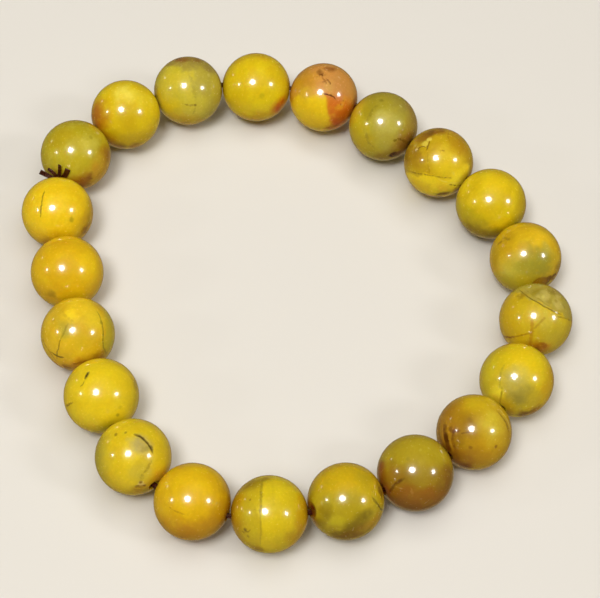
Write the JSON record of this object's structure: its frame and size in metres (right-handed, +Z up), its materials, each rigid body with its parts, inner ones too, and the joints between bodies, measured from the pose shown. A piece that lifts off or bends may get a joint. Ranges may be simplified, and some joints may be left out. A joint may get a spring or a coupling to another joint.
{
  "type": "pietersite bead bracelet",
  "caption": "Stretch bracelet of polished round golden and olive pietersite beads on doubled dark elastic cord, knotted with short cut ends, lying flat as a loose ring.",
  "frame": {"origin": "middle of the loop's outline, on the surface that the beads rest on", "axes": "+Z up, out of the plane that the bracelet lies in; +Y from the near side of the loop to the far side as in the picture, with the knotted gap on the -X side; +X to the right"},
  "size_m": [0.0697, 0.0707, 0.009],
  "materials": {
    "golden_pietersite": "polished",
    "olive_pietersite": "polished",
    "honey_pietersite": "polished",
    "orange_pietersite": "polished",
    "elastic_cord": "satin"
  },
  "bodies": {
    "root": {"bead_01": "olive_pietersite", "bead_02": "golden_pietersite", "bead_03": "orange_pietersite", "bead_04": "olive_pietersite", "bead_05": "honey_pietersite", "bead_06": "golden_pietersite", "bead_07": "golden_pietersite", "bead_08": "golden_pietersite", "bead_09": "golden_pietersite", "bead_10": "honey_pietersite", "bead_11": "honey_pietersite", "bead_12": "olive_pietersite", "bead_13": "golden_pietersite", "bead_14": "golden_pietersite", "bead_15": "golden_pietersite", "bead_16": "golden_pietersite", "bead_17": "golden_pietersite", "bead_18": "golden_pietersite", "bead_19": "golden_pietersite", "bead_20": "olive_pietersite", "bead_21": "golden_pietersite", "elastic_cord": "elastic_cord"}
  },
  "joints": []
}
